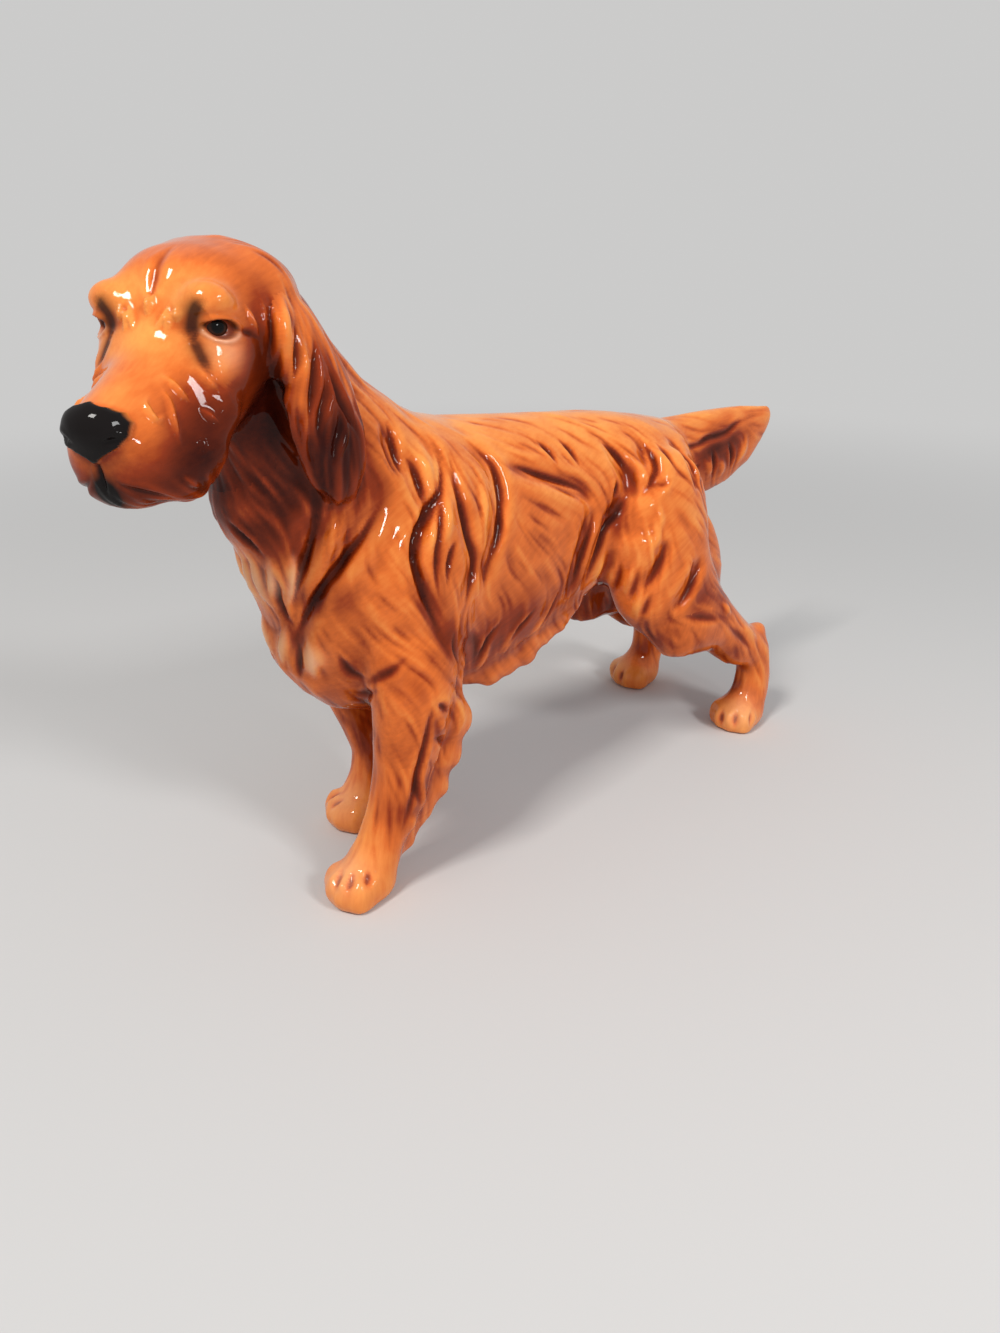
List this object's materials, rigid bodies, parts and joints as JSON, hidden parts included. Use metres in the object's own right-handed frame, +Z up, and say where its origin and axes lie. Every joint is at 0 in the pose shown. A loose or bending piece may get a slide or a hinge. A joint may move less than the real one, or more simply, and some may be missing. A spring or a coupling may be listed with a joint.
{
  "type": "dog figurine",
  "caption": "Glazed porcelain figurine of a standing red setter with its head turned to one side, long ears, feathered legs and a level tail.",
  "frame": {"origin": "on the floor, below the middle of the figure's bounding box", "axes": "+Z up from the soles, +Y along the figure from nose to tail, +X to the dog's own left"},
  "size_m": [0.052, 0.196, 0.127],
  "materials": {
    "torso": "gloss",
    "head": "gloss",
    "ear_left": "gloss",
    "ear_right": "gloss",
    "foreleg_left": "gloss",
    "foreleg_right": "gloss",
    "hindleg_left": "gloss",
    "hindleg_right": "gloss",
    "tail": "gloss"
  },
  "bodies": {
    "root": {"torso": "torso", "head": "head", "ear_left": "ear_left", "ear_right": "ear_right", "foreleg_left": "foreleg_left", "foreleg_right": "foreleg_right", "hindleg_left": "hindleg_left", "hindleg_right": "hindleg_right", "tail": "tail"}
  },
  "joints": []
}
